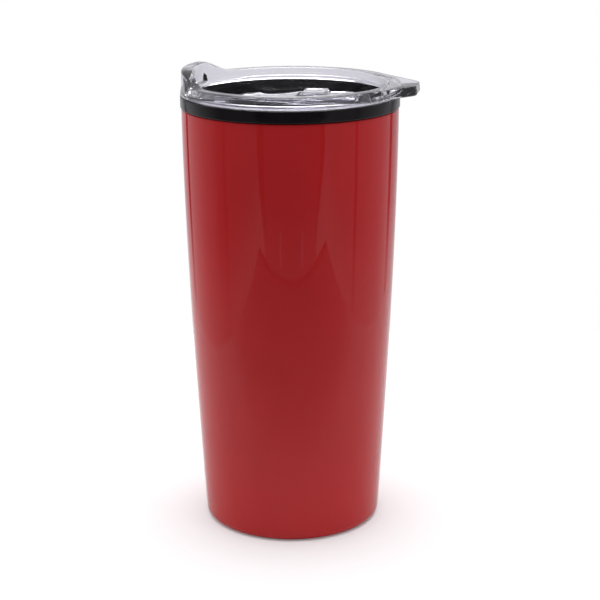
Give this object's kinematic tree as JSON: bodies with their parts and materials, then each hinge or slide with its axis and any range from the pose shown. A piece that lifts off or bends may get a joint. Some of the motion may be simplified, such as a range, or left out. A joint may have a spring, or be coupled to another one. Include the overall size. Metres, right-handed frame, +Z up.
{
  "type": "insulated tumbler with lid",
  "caption": "Tapered double-wall drinking tumbler: painted steel shell, black moulded inner cup, clear push-on lid with raised spout, thumb tab and slide closure.",
  "frame": {"origin": "centre of the flat underside of the base, on the surface that the tumbler stands on", "axes": "+Z up along the cup's axis; the spout points along -X and the lid's thumb tab along +X; the part is symmetric about Y = 0"},
  "size_m": [0.0946, 0.087, 0.1871],
  "materials": {
    "red_paint": "high gloss red enamel over steel",
    "bare_steel": "drawn stainless steel, satin",
    "black_plastic": "black polypropylene, semi gloss",
    "clear_plastic": "clear rigid plastic, polished",
    "soft_rubber": "translucent white silicone, matte"
  },
  "bodies": {
    "cup": {"outer_shell": "red_paint", "shell_base": "bare_steel", "inner_liner": "black_plastic", "liner_seal_ring": "soft_rubber"},
    "lid": {"lid_body": "clear_plastic", "lid_gasket": "soft_rubber"},
    "closure": {"slider": "clear_plastic", "slider_seal": "soft_rubber"}
  },
  "joints": [
    {"name": "lid_lift", "type": "slide", "parent": "cup", "child": "lid", "axis": [0, 0, 1], "range_m": [0, 0.04]},
    {"name": "slider_close", "type": "slide", "parent": "lid", "child": "closure", "axis": [-1, 0, 0], "range_m": [0, 0.011]}
  ]
}
